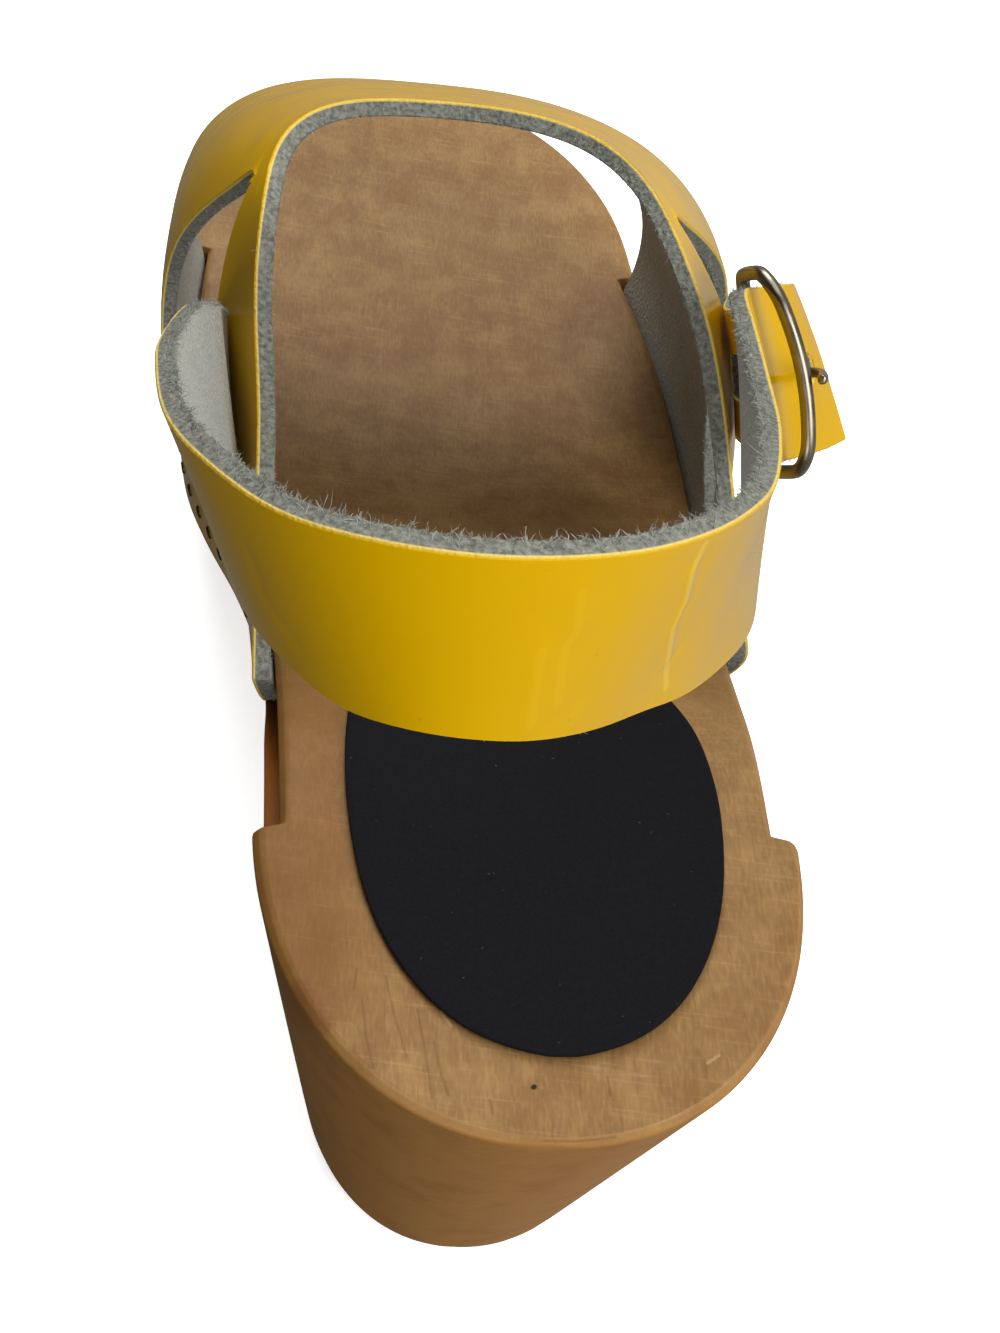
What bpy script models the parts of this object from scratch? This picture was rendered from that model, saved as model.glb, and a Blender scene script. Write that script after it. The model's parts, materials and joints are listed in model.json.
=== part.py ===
"""Wooden clog slingback sandal for the right foot.

A one-piece wooden sole with its heel carries a black seat label and a hollow upper of patent
leather, which is nailed in a rabbet along both sides. A sling strap runs from the inner leg of
the upper round the back of the ankle to a buckle on the outer leg.

Sizes are in millimetres and become metres when a mesh is made. +X is the outer side of the foot,
+Y the toe and +Z up. The origin is on the floor under the widest line of the heel seat.
"""

import math
from collections import namedtuple

import bmesh
import bpy
import numpy as np
from mathutils import Vector

MM = 0.001
GAP = 0.3
MEDIAL = -1
LATERAL = 1

# Seat and heel: half ovals about the widest line of the seat
SEAT_HALF_WIDTH = 34.0
SEAT_DEPTH = 40.9
SEAT_POWER = 2.15
HEEL_HALF_WIDTH = 22.0
HEEL_DEPTH = 27.5
HEEL_MIDDLE_Y = 4.5
HEEL_SHIFT_END_Y = 20.0

# Toe: half an oval from the start of the toe to its tip
TOE_START_Y = 162.0
TOE_LENGTH = 43.0
TOE_TIP_X = -8.0
TOE_POWER = 2.2
TOE_TREAD_INSET = 3.4

# Edges of the wood, and the rabbet that the leather lies in
EDGE_ROUND = 1.2
TREAD_ROUND = 2.0
RABBET_DEPTH = 3.2
RABBET_HEIGHT = 11.0
RABBET_BACK_Y = 0.0
RABBET_FRONT_Y = 159.4
RABBET_STEP = 0.8
SEAT_DISH = 1.2
DISH_SHARES = (0.2, 0.4, 0.6, 0.8)
TREAD_SHARES = (1 / 3, 2 / 3)

# Leather
LEATHER = 2.4
BULGE_RISE = 0.15
CUT_OUT_LOW = 0.965
CUT_OUT_APEX = 0.33
ARCH_STEPS = 241
FRONT_STATIONS = 10
REAR_STATIONS = 8
RIDGE_COLUMNS = 7
CUT_OUT_COLUMNS = 17
MARGIN_SHARES = (1.0, 1.5, 2.0)
SLOPE_STEP_Y = 0.5
SLOPE_STEP_SHARE = 0.005

# Sling strap
STRAP_WIDTH = 24.5
STRAP_LEATHER = 2.4
RIB_SHARES = (-1.0, -0.5, 0.0, 0.5, 1.0)
SPAN_PARTS = 4

# Seat label
LABEL_HALF_WIDTH = 23.4
LABEL_MIDDLE_X = 0.8
LABEL_MIDDLE_Y = 5.6
LABEL_BACK = 35.8
LABEL_FRONT = 44.6
LABEL_POWER = 2.18
LABEL_THICKNESS = 0.8
LABEL_LIFT = 0.4
LABEL_ANGLES = (*range(4, 88, 14), *range(88, 148, 5), *range(148, 178, 7))

# Buckle and its tab
WIRE = 1.1
PRONG_WIRE = 0.8
PRONG_EYE = WIRE + GAP + PRONG_WIRE
PRONG_LEAN = 0.07
FRAME_HALF_HEIGHT = 13.5
FRAME_LENGTH = 19.0
FRAME_CORNER = 4.5
FRAME_BOW = 1.6
FRAME_STEPS = (0.0, 22.5, 45.0, 67.5, 90.0)
FRAME_TURNS = (
    (0, -FRAME_CORNER, 1),
    (90, FRAME_CORNER - FRAME_LENGTH, 1),
    (180, FRAME_CORNER - FRAME_LENGTH, -1),
    (270, -FRAME_CORNER, -1),
)
FRAME_BAR_TURNS = (90, 270)
FRAME_BAR_SHARES = (0.5, 0.0, -0.5)
INNER_BAR_LIFT = 4.3
END_BAR_LIFT = 9.3
TAB_WIDTH = 19.0
TAB_SLOT = 6.4
TAB_LEATHER = 1.8
TAB_FOLD = WIRE + GAP + TAB_LEATHER / 2
HOLE_RADIUS = 2.3
HOLE_ALONG = -3.2
HOLE_CUTTER_LENGTH = 20.0
HOLE_CUTTER_SIDES = 20

# Looks of the materials: linear colours and roughness
WOOD_COLOUR = (0.53, 0.33, 0.16)
WOOD_ROUGHNESS = 0.6
LABEL_COLOUR = (0.02, 0.02, 0.022)
LABEL_ROUGHNESS = 0.8
PATENT_COLOUR = (0.75, 0.47, 0.01)
PATENT_ROUGHNESS = 0.12
NICKEL_COLOUR = (0.60, 0.58, 0.55)
NICKEL_ROUGHNESS = 0.25

# Edges under these angles are shaded smooth
SOLE_SMOOTH = 32
LABEL_SMOOTH = 40
LEATHER_SMOOTH = 60

PlanRow = namedtuple("PlanRow", "y medial lateral")
PLAN = (
    PlanRow(0.0, 34.0, 34.0),
    PlanRow(15.0, 33.9, 34.9),
    PlanRow(30.0, 33.8, 36.4),
    PlanRow(50.0, 34.1, 39.2),
    PlanRow(70.0, 36.2, 42.4),
    PlanRow(90.0, 41.0, 45.2),
    PlanRow(105.0, 44.2, 46.6),
    PlanRow(120.0, 45.4, 47.0),
    PlanRow(140.0, 45.0, 45.6),
    PlanRow(162.0, 43.2, 41.2),
)

TopRow = namedtuple("TopRow", "y z")
TOP = (
    TopRow(-41.0, 72.8),
    TopRow(0.0, 72.2),
    TopRow(14.0, 70.4),
    TopRow(30.0, 63.6),
    TopRow(50.0, 52.8),
    TopRow(70.0, 42.4),
    TopRow(90.0, 34.2),
    TopRow(110.0, 29.2),
    TopRow(130.0, 27.4),
    TopRow(150.0, 27.2),
    TopRow(175.0, 29.2),
    TopRow(205.0, 35.0),
)

# Underside: its height, how far the side walls run in, and how much further below the rabbet
UndersideRow = namedtuple("UndersideRow", "y z inset undercut")
UNDERSIDE = (
    UndersideRow(0.0, 0.0, 12.0, 0.0),
    UndersideRow(27.0, 0.0, 12.6, 0.0),
    UndersideRow(31.0, 12.0, 11.0, 0.2),
    UndersideRow(35.0, 23.0, 9.4, 0.8),
    UndersideRow(40.0, 28.4, 7.6, 2.0),
    UndersideRow(46.0, 29.0, 6.2, 3.6),
    UndersideRow(56.0, 25.2, 5.2, 5.2),
    UndersideRow(70.0, 17.4, 4.4, 6.2),
    UndersideRow(84.0, 9.4, 3.8, 6.8),
    UndersideRow(96.0, 3.8, 3.4, 6.6),
    UndersideRow(106.0, 0.7, 3.2, 5.6),
    UndersideRow(112.0, 0.0, 3.2, 4.8),
    UndersideRow(150.0, 0.0, 3.2, 0.0),
    UndersideRow(162.0, 1.0, 3.3, 0.0),
    UndersideRow(175.0, 3.2, 3.4, 0.0),
    UndersideRow(190.0, 7.2, 3.4, 0.0),
    UndersideRow(205.0, 13.0, 3.4, 0.0),
)

# Sections of the upper: the ridge over the foot, how full each side is and how far it bows out
ArchRow = namedtuple(
    "ArchRow", "y ridge_x ridge_z medial_power lateral_power medial_bulge lateral_bulge"
)
ARCH = (
    ArchRow(20.0, -8.0, 152.0, 4.2, 1.66, 0.5, -4.0),
    ArchRow(50.0, -8.0, 138.0, 3.8, 1.66, 0.8, -4.0),
    ArchRow(70.0, -8.0, 124.0, 3.8, 1.86, 2.6, -2.5),
    ArchRow(85.0, -8.0, 115.0, 3.6, 2.1, 4.0, -0.5),
    ArchRow(100.0, -7.0, 105.0, 3.5, 2.36, 4.2, 0.6),
    ArchRow(120.0, -6.0, 93.0, 3.4, 2.6, 3.4, 1.0),
    ArchRow(140.0, -5.0, 80.0, 3.3, 2.6, 3.0, 1.0),
    ArchRow(162.0, -5.0, 65.0, 3.2, 2.5, 2.6, 0.6),
)

# Cut edges of the upper by the share of the way from the ridge to the sole, 2 in the rabbet: the
# front edge, the rear edges of the legs, and the rear and front of the cut-out on each side
CutRow = namedtuple(
    "CutRow",
    "share front medial_rear lateral_rear medial_gap_rear medial_gap_front"
    " lateral_gap_rear lateral_gap_front",
)
CUTS = (
    CutRow(0.00, 150.0, 99.0, 99.0, 111.0, 113.0, 111.0, 113.0),
    CutRow(0.16, 150.4, 95.5, 95.5, 103.0, 105.0, 103.0, 105.0),
    CutRow(0.25, 150.8, 87.0, 87.0, 91.0, 93.0, 91.0, 93.0),
    CutRow(0.33, 151.4, 74.5, 75.0, 80.8, 83.2, 80.8, 83.2),
    CutRow(0.40, 152.0, 68.5, 69.5, 79.5, 90.0, 80.4, 89.6),
    CutRow(0.48, 152.8, 63.0, 65.0, 78.5, 98.0, 81.5, 97.5),
    CutRow(0.57, 153.8, 56.5, 60.0, 77.5, 105.0, 83.8, 106.2),
    CutRow(0.67, 155.0, 48.5, 55.0, 75.0, 110.0, 84.8, 111.2),
    CutRow(0.77, 156.0, 40.5, 50.0, 71.0, 111.0, 82.5, 111.0),
    CutRow(0.87, 157.0, 34.0, 45.5, 65.5, 107.0, 77.0, 107.0),
    CutRow(0.93, 157.4, 31.0, 43.0, 61.0, 98.0, 73.0, 98.5),
    CutRow(0.965, 157.7, 29.5, 41.5, 58.5, 84.0, 71.0, 86.0),
    CutRow(1.00, 158.0, 28.0, 40.0, 58.5, 84.0, 71.0, 86.0),
    CutRow(2.00, 158.0, 35.0, 46.0, 58.5, 84.0, 71.0, 86.0),
)

# Free ribs of the sling strap: its middle and the direction across it, upwards
RibRow = namedtuple("RibRow", "x y z lean_x lean_y lean_z")
RIBS = (
    RibRow(-40.1, 50.8, 92.3, -0.22, 0.55, 0.81),
    RibRow(-41.7, 31.9, 104.5, -0.33, 0.50, 0.80),
    RibRow(-41.5, 18.5, 112.5, -0.36, 0.45, 0.82),
    RibRow(-39.7, 6.1, 118.7, -0.42, 0.47, 0.78),
    RibRow(-36.3, -4.4, 124.4, -0.44, 0.42, 0.79),
    RibRow(-31.0, -13.5, 128.7, -0.34, 0.18, 0.92),
    RibRow(-24.5, -18.8, 132.0, -0.20, 0.07, 0.98),
    RibRow(-16.5, -20.7, 133.0, -0.02, 0.04, 1.00),
    RibRow(-8.1, -19.2, 131.9, 0.18, 0.11, 0.98),
    RibRow(-0.9, -14.9, 129.2, 0.27, 0.21, 0.94),
    RibRow(5.4, -8.8, 125.5, 0.29, 0.31, 0.90),
    RibRow(11.9, -0.6, 120.3, 0.19, 0.40, 0.90),
    RibRow(19.7, 14.7, 111.8, 0.00, 0.49, 0.87),
    RibRow(23.5, 28.9, 105.9, -0.10, 0.47, 0.88),
    RibRow(26.7, 43.6, 100.5, -0.16, 0.54, 0.83),
)

# Strap on the inner leg, by its way along the strap and its lift off the leg
LiftRow = namedtuple("LiftRow", "along lift")
INNER_END = (LiftRow(-6.0, 2.0), LiftRow(0.0, 1.8))

# Strap through the buckle: it narrows to its tip, and its lower edge twists out from the leg
RunRow = namedtuple("RunRow", "along lift half_width twist")
BUCKLE_RUN = (
    RunRow(-19.0, 4.8, 12.0, -0.3),
    RunRow(-10.0, 6.8, 11.6, 0.4),
    RunRow(-4.0, 9.9, 11.1, 1.0),
    RunRow(1.0, 11.7, 10.6, 1.8),
    RunRow(4.5, 12.5, 10.2, 2.8),
)

# Buckle tab and prong, by the way along the strap and the lift of their middle line
TAB_LOWER = (LiftRow(17.0, 1.2), LiftRow(11.0, 1.2), LiftRow(5.0, 1.2), LiftRow(0.0, 2.0))
TAB_UPPER = (LiftRow(0.0, 6.6), LiftRow(5.0, 4.8), LiftRow(10.0, 3.3), LiftRow(16.0, 3.3))
PRONG_RUN = (
    LiftRow(-2.0, 8.4),
    LiftRow(-3.6, 10.6),
    LiftRow(-4.9, 12.4),
    LiftRow(-7.2, 13.4),
    LiftRow(-12.0, 13.5),
    LiftRow(-19.0, 13.3),
    LiftRow(-21.0, 13.0),
)
PRONG_EYE_ANGLES = (-30, 0, 30, 60, 90)
TAB_FOLD_ANGLES = (-120, -150, 180, 150, 120)

# Where strap and buckle sit on the legs: toe-ward place, share of the way down, way of the strap
SeatRow = namedtuple("SeatRow", "y share toward")
INNER_SEAT = SeatRow(69.5, -0.68, (0.0, 0.80, -0.60))
BUCKLE_SEAT = SeatRow(70.6, 0.58, (0.336, 0.874, -0.60))

# Places of the sole's sections: turns round the heel, ways along the side, turns round the toe
HEEL_ANGLES = (2.5, 7, 13, 20, 28, 37, 48, 60, 72, 83)
SIDE_STATIONS = (
    *(8, 16, 22, 27, 29, 31, 33, 36, 40, 46, 52, 60),
    *(68, 76, 84, 92, 100, 106, 112, 120, 130, 140, 150, 155),
)
TOE_ANGLES = (10, 22, 34, 46, 57, 67, 76, 83, 87.5)


def column(table, name):
    """Smooth function of y through one named column, without overshoot between the rows."""
    key = table[0]._fields[0]
    xs = np.array([getattr(row, key) for row in table])
    ys = np.array([getattr(row, name) for row in table])
    step = np.diff(xs)
    slope = np.diff(ys) / step
    tangent = np.zeros(len(xs))
    tangent[0], tangent[-1] = slope[0], slope[-1]
    for i in range(1, len(xs) - 1):
        if slope[i - 1] * slope[i] > 0:
            before = 2 * step[i] + step[i - 1]
            after = step[i] + 2 * step[i - 1]
            tangent[i] = (before + after) / (before / slope[i - 1] + after / slope[i])

    def value(x):
        x = min(max(x, xs[0]), xs[-1])
        i = min(int(np.searchsorted(xs, x, side="right")) - 1, len(step) - 1)
        t = (x - xs[i]) / step[i]
        return float(
            (1 + 2 * t) * (1 - t) ** 2 * ys[i]
            + t * (1 - t) ** 2 * step[i] * tangent[i]
            + t * t * (3 - 2 * t) * ys[i + 1]
            + t * t * (t - 1) * step[i] * tangent[i + 1]
        )

    return value


SIDE = {MEDIAL: column(PLAN, "medial"), LATERAL: column(PLAN, "lateral")}
TOP_Z = column(TOP, "z")
UNDER_Z = column(UNDERSIDE, "z")
UNDER_INSET = column(UNDERSIDE, "inset")
UNDERCUT = column(UNDERSIDE, "undercut")
RIDGE_X = column(ARCH, "ridge_x")
RIDGE_Z = column(ARCH, "ridge_z")
POWER = {MEDIAL: column(ARCH, "medial_power"), LATERAL: column(ARCH, "lateral_power")}
BULGE = {MEDIAL: column(ARCH, "medial_bulge"), LATERAL: column(ARCH, "lateral_bulge")}
FRONT = column(CUTS, "front")
REAR = {MEDIAL: column(CUTS, "medial_rear"), LATERAL: column(CUTS, "lateral_rear")}
GAP_REAR = {MEDIAL: column(CUTS, "medial_gap_rear"), LATERAL: column(CUTS, "lateral_gap_rear")}
GAP_FRONT = {MEDIAL: column(CUTS, "medial_gap_front"), LATERAL: column(CUTS, "lateral_gap_front")}


def oval(angle, power):
    """Sine and cosine of a superellipse."""
    turn = math.radians(angle)
    return math.sin(turn) ** (2 / power), math.cos(turn) ** (2 / power)


def plan(zone, where, side, inset):
    """Point of the sole's top outline, moved in by inset."""
    if zone == "heel":
        across, along = oval(where, SEAT_POWER)
        return side * (SEAT_HALF_WIDTH - inset) * across, -(SEAT_DEPTH - inset) * along
    if zone == "toe":
        along, across = oval(where, TOE_POWER)
        edge = side * (SIDE[side](TOE_START_Y) - inset)
        return TOE_TIP_X + (edge - TOE_TIP_X) * across, TOE_START_Y + (TOE_LENGTH - inset) * along
    return side * (SIDE[side](where) - inset), where


def tread(zone, where, side, inset):
    """Point of the outline under the sole, moved in by inset."""
    if zone == "heel":
        across, along = oval(where, SEAT_POWER)
        return side * (HEEL_HALF_WIDTH - inset) * across, HEEL_MIDDLE_Y - (HEEL_DEPTH - inset) * along
    if zone == "toe":
        return plan(zone, where, side, inset + TOE_TREAD_INSET)
    x, y = plan(zone, where, side, inset + UNDER_INSET(where))
    return x, y + HEEL_MIDDLE_Y * max(0.0, 1 - where / HEEL_SHIFT_END_Y)


def sole_wall(zone, where, side, drop, inset):
    """Point on the side of the sole, drop below its top edge."""
    top = plan(zone, where, side, inset)
    low = tread(zone, where, side, inset)
    reference = plan(zone, where, side, 0.0)[1]
    z = TOP_Z(reference)
    share = drop / (z - UNDER_Z(reference))
    return (top[0] + (low[0] - top[0]) * share, top[1] + (low[1] - top[1]) * share, z - drop)


def sole_side(zone, where, side, rabbet):
    """Points down one side of a section, from the top edge to the tread."""
    reference = plan(zone, where, side, 0.0)[1]
    height = TOP_Z(reference) - UNDER_Z(reference)
    corner = plan(zone, where, side, rabbet + EDGE_ROUND)
    cut = UNDERCUT(reference)
    foot = tread(zone, where, side, TREAD_ROUND + cut)
    step_drop = RABBET_HEIGHT if rabbet else RABBET_HEIGHT / 2
    return [
        (*corner, TOP_Z(reference)),
        sole_wall(zone, where, side, EDGE_ROUND, rabbet),
        sole_wall(zone, where, side, step_drop, rabbet),
        sole_wall(zone, where, side, RABBET_HEIGHT, 0.0),
        sole_wall(zone, where, side, height - TREAD_ROUND, cut),
        (*foot, UNDER_Z(reference)),
    ]


def between(first, last, share):
    return tuple(a + (b - a) * share for a, b in zip(first, last))


def dish(x, inner, outer):
    """Depth of the hollow across the top between its inner and outer edge."""
    half = (outer - inner) / 2
    off = x - (inner + outer) / 2
    return SEAT_DISH * (half**2 - off**2) / SEAT_HALF_WIDTH**2


def top_edges(y):
    """Inner and outer x of the seat's top edge."""
    if y < RABBET_BACK_Y:
        share = -y / (SEAT_DEPTH - EDGE_ROUND)
        half = (SEAT_HALF_WIDTH - EDGE_ROUND) * (1 - share**SEAT_POWER) ** (1 / SEAT_POWER)
        return -half, half
    inset = RABBET_DEPTH + EDGE_ROUND
    return inset - SIDE[MEDIAL](y), SIDE[LATERAL](y) - inset


def sole_ring(zone, where, rabbet):
    medial = sole_side(zone, where, MEDIAL, rabbet)
    lateral = sole_side(zone, where, LATERAL, rabbet)
    ring = [medial[0]]
    for share in DISH_SHARES:
        x, y, z = between(medial[0], lateral[0], share)
        ring.append((x, y, z - dish(x, medial[0][0], lateral[0][0])))
    ring += lateral
    ring += [between(lateral[-1], medial[-1], share) for share in TREAD_SHARES]
    return ring + medial[:0:-1]


def sole_rings():
    rings = [sole_ring("heel", angle, 0.0) for angle in HEEL_ANGLES]
    rings.append(sole_ring("side", RABBET_BACK_Y, 0.0))
    rings.append(sole_ring("side", RABBET_BACK_Y + RABBET_STEP, RABBET_DEPTH))
    rings += [sole_ring("side", y, RABBET_DEPTH) for y in SIDE_STATIONS]
    rings.append(sole_ring("side", RABBET_FRONT_Y - RABBET_STEP, RABBET_DEPTH))
    rings.append(sole_ring("side", RABBET_FRONT_Y, 0.0))
    return rings + [sole_ring("toe", angle, 0.0) for angle in TOE_ANGLES]


def arch_half(y, side):
    """Dense outer section of the upper from the ridge down to the sole's edge."""
    edge_x, _, edge_z = sole_wall("side", y, side, 0.0, GAP)
    ridge_x, ridge_z, power = RIDGE_X(y), RIDGE_Z(y), POWER[side](y)
    share = np.linspace(1.0, 0.0, ARCH_STEPS)
    turn = math.pi / 2 * share**2 * (3 - 2 * share)
    rise = np.sin(turn) ** (2 / power)
    width = np.abs(np.cos(turn)) ** (2 / power)
    bow = side * BULGE[side](y) * (1 - np.exp(-rise / BULGE_RISE))
    x = ridge_x + (edge_x - ridge_x + bow) * width
    return np.column_stack([x, edge_z + (ridge_z - edge_z) * rise])


def upper_point(y, share):
    """Outer face of the upper. Share 0 is the ridge, -1 and 1 the sole's edges, then the rabbet."""
    side = MEDIAL if share < 0 else LATERAL
    if abs(share) > 1:
        drop = (abs(share) - 1) * (RABBET_HEIGHT - GAP)
        return np.array(sole_wall("side", y, side, drop, GAP))
    half = arch_half(y, side)
    length = np.concatenate([[0.0], np.cumsum(np.hypot(*np.diff(half, axis=0).T))])
    x, z = (np.interp(abs(share) * length[-1], length, half[:, i]) for i in (0, 1))
    return np.array([x, y, z])


def leg_axes(seat):
    """Point, slopes and the direction along the strap and across it at a place on a leg."""
    by_y = upper_point(seat.y + SLOPE_STEP_Y, seat.share) - upper_point(seat.y - SLOPE_STEP_Y, seat.share)
    by_y /= 2 * SLOPE_STEP_Y
    further = upper_point(seat.y, seat.share + SLOPE_STEP_SHARE)
    nearer = upper_point(seat.y, seat.share - SLOPE_STEP_SHARE)
    by_share = (further - nearer) / (2 * SLOPE_STEP_SHARE)
    normal = np.cross(by_share, by_y)
    normal /= np.linalg.norm(normal)
    if normal[0] * seat.share < 0:
        normal = -normal
    along = np.array(seat.toward)
    along -= normal * np.dot(along, normal)
    along /= np.linalg.norm(along)
    across = np.cross(normal, along)
    if across[2] < 0:
        across = -across
    return by_y, by_share, normal, along, across


def leg_point(seat, along_by, across_by, lift):
    """Point at a way along and across the strap from a seat on a leg, lifted off its outer face."""
    by_y, by_share, _, along, across = leg_axes(seat)
    slopes = np.column_stack([by_y, by_share])
    move = np.linalg.lstsq(slopes, along * along_by + across * across_by, rcond=None)[0]
    place = SeatRow(seat.y + move[0], seat.share + move[1], seat.toward)
    return upper_point(place.y, place.share) + leg_axes(place)[2] * lift


def make_material(name, colour, roughness, metallic=0.0):
    material = bpy.data.materials.new(name)
    material.use_nodes = True
    shader = material.node_tree.nodes["Principled BSDF"]
    shader.inputs["Base Color"].default_value = (*colour, 1.0)
    shader.inputs["Roughness"].default_value = roughness
    shader.inputs["Metallic"].default_value = metallic
    material.diffuse_color = (*colour, 1.0)
    return material


def make_collection(name):
    collection = bpy.data.collections.new(name)
    bpy.context.scene.collection.children.link(collection)
    return collection


def add_object(name, data, collection, material=None):
    thing = bpy.data.objects.new(name, data)
    collection.objects.link(thing)
    if material:
        data.materials.append(material)
    return thing


def mesh_from(name, points, faces):
    mesh = bpy.data.meshes.new(name)
    mesh.from_pydata([tuple(float(c) * MM for c in point) for point in points], [], faces)
    mesh.update()
    return mesh


def smooth(mesh, angle):
    mesh.shade_smooth()
    mesh.set_sharp_from_angle(angle=math.radians(angle))


def end_faces(count, levels):
    """Faces that close an end ring of the sole, in bands from its top down to the tread."""
    outer = [len(DISH_SHARES) + 1 + level for level in range(levels)]
    inner = [-level % count for level in range(levels)]
    faces = []
    for level in range(levels - 1):
        high = (inner[level], outer[level])
        low = (outer[level + 1], inner[level + 1])
        if level == 0:
            high = range(inner[0], outer[0] + 1)
        if level == levels - 2:
            low = range(outer[-1], inner[-1] + 1)
        faces.append((*high, *low))
    return faces


def loft(name, rings, ends):
    """Closed mesh through rings of the same number of points."""
    count = len(rings[0])
    points = [point for ring in rings for point in ring]
    faces = [tuple(start + i for i in face) for start in (0, len(points) - count) for face in ends]
    for row in range(len(rings) - 1):
        for i in range(count):
            j = (i + 1) % count
            low, high = row * count, (row + 1) * count
            faces.append((low + i, low + j, high + j, high + i))
    mesh = mesh_from(name, points, faces)
    work = bmesh.new()
    work.from_mesh(mesh)
    bmesh.ops.recalc_face_normals(work, faces=work.faces)
    work.to_mesh(mesh)
    work.free()
    return mesh


def grid(name, rows, keep=lambda row, place: True):
    """Open surface through rows of points, with the faces that keep allows."""
    count = len(rows[0])
    points = [point for row in rows for point in row]
    faces = []
    for i in range(len(rows) - 1):
        for j in range(count - 1):
            if keep(i, j):
                near, far = i * count + j, (i + 1) * count + j
                faces.append((near, near + 1, far + 1, far))
    mesh = mesh_from(name, points, faces)
    work = bmesh.new()
    work.from_mesh(mesh)
    loose = [vertex for vertex in work.verts if not vertex.link_faces]
    bmesh.ops.delete(work, geom=loose, context="VERTS")
    work.to_mesh(mesh)
    work.free()
    return mesh


def thicken(thing, thickness, offset):
    shell = thing.modifiers.new("thickness", "SOLIDIFY")
    shell.thickness = thickness * MM
    shell.offset = offset
    shell.use_even_offset = True
    return shell


def make_sole(collection):
    rings = sole_rings()
    levels = (len(rings[0]) - len(DISH_SHARES) - len(TREAD_SHARES)) // 2
    mesh = loft("wooden_sole", rings, end_faces(len(rings[0]), levels))
    smooth(mesh, SOLE_SMOOTH)
    material = make_material("wood", WOOD_COLOUR, WOOD_ROUGHNESS)
    return add_object("wooden_sole", mesh, collection, material)


def label_rows():
    """Surface over the seat inside the label's outline."""
    rows = []
    for angle in LABEL_ANGLES:
        back = angle < 90
        across, along = oval(angle if back else 180 - angle, LABEL_POWER)
        y = LABEL_MIDDLE_Y + (-LABEL_BACK if back else LABEL_FRONT) * along
        row = []
        for share in RIB_SHARES:
            x = LABEL_MIDDLE_X + LABEL_HALF_WIDTH * across * share
            row.append((x, y, TOP_Z(y) - dish(x, *top_edges(y)) + LABEL_LIFT))
        rows.append(row)
    return rows


def make_label(collection):
    mesh = grid("seat_label", label_rows())
    smooth(mesh, LABEL_SMOOTH)
    material = make_material("label_black", LABEL_COLOUR, LABEL_ROUGHNESS)
    label = add_object("seat_label", mesh, collection, material)
    thicken(label, LABEL_THICKNESS, 1.0)
    return label


def upper_shares():
    """Places of the columns from the bottom of the inner margin to that of the outer one."""
    half = list(np.linspace(0.0, CUT_OUT_APEX, RIDGE_COLUMNS))
    half += list(np.linspace(CUT_OUT_APEX, CUT_OUT_LOW, CUT_OUT_COLUMNS)[1:])
    half += MARGIN_SHARES
    return [-share for share in half[:0:-1]] + half


def upper_row(share):
    """Points of one column from the front edge, past the cut-out, to the rear edge."""
    side = MEDIAL if share < 0 else LATERAL
    place = abs(share)
    gap_front, gap_rear = GAP_FRONT[side](place), GAP_REAR[side](place)
    front = np.linspace(FRONT(place), gap_front, FRONT_STATIONS)
    rear = np.linspace(gap_rear, REAR[side](place), REAR_STATIONS)
    stations = [*front, (gap_front + gap_rear) / 2, *rear]
    return [upper_point(y, share) for y in stations]


def make_upper(collection):
    shares = upper_shares()
    rows = [upper_row(share) for share in shares]

    def keep(row, place):
        low, high = sorted((abs(shares[row]), abs(shares[row + 1])))
        middle = (low + high) / 2
        inside = CUT_OUT_APEX < middle < CUT_OUT_LOW
        return not (inside and place in (FRONT_STATIONS - 1, FRONT_STATIONS))

    mesh = grid("upper", rows, keep)
    smooth(mesh, LEATHER_SMOOTH)
    material = make_material("patent_yellow_upper", PATENT_COLOUR, PATENT_ROUGHNESS)
    upper = add_object("upper", mesh, collection, material)
    thicken(upper, LEATHER, -1.0)
    return upper


def strap_ribs():
    """Ribs of five points across the strap, from its inner end round to its tip."""
    half = STRAP_WIDTH / 2
    ribs = []
    for row in reversed(INNER_END):
        ribs.append([leg_point(INNER_SEAT, row.along, half * share, row.lift) for share in RIB_SHARES])
    for row in RIBS:
        lean = np.array([row.lean_x, row.lean_y, row.lean_z])
        lean /= np.linalg.norm(lean)
        middle = np.array([row.x, row.y, row.z])
        ribs.append([middle + lean * half * share for share in RIB_SHARES])
    for row in BUCKLE_RUN:
        rib = []
        for share in RIB_SHARES:
            lift = row.lift - row.twist * share
            rib.append(leg_point(BUCKLE_SEAT, row.along, row.half_width * share, lift))
        ribs.append(rib)
    return np.array(ribs)


def spline(points, parts):
    """Catmull-Rom curve through points, each span cut in parts."""
    points = np.asarray(points)
    first, last = 2 * points[0] - points[1], 2 * points[-1] - points[-2]
    padded = np.concatenate([[first], points, [last]])
    curve = []
    for i in range(1, len(padded) - 2):
        before, start, end, after = padded[i - 1 : i + 3]
        for t in np.arange(parts) / parts:
            square = 2 * before - 5 * start + 4 * end - after
            cube = 3 * start - before - 3 * end + after
            curve.append(start + ((end - before) * t + square * t**2 + cube * t**3) / 2)
    curve.append(points[-1])
    return np.array(curve)


def make_strap(collection, cutters):
    mesh = grid("sling_strap", spline(strap_ribs(), SPAN_PARTS))
    smooth(mesh, LEATHER_SMOOTH)
    material = make_material("patent_yellow_strap", PATENT_COLOUR, PATENT_ROUGHNESS)
    strap = add_object("sling_strap", mesh, collection, material)
    thicken(strap, STRAP_LEATHER, 0.0)
    hole = strap.modifiers.new("prong_hole", "BOOLEAN")
    hole.operation = "DIFFERENCE"
    hole.object = make_hole_cutter(cutters)
    return strap


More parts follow.
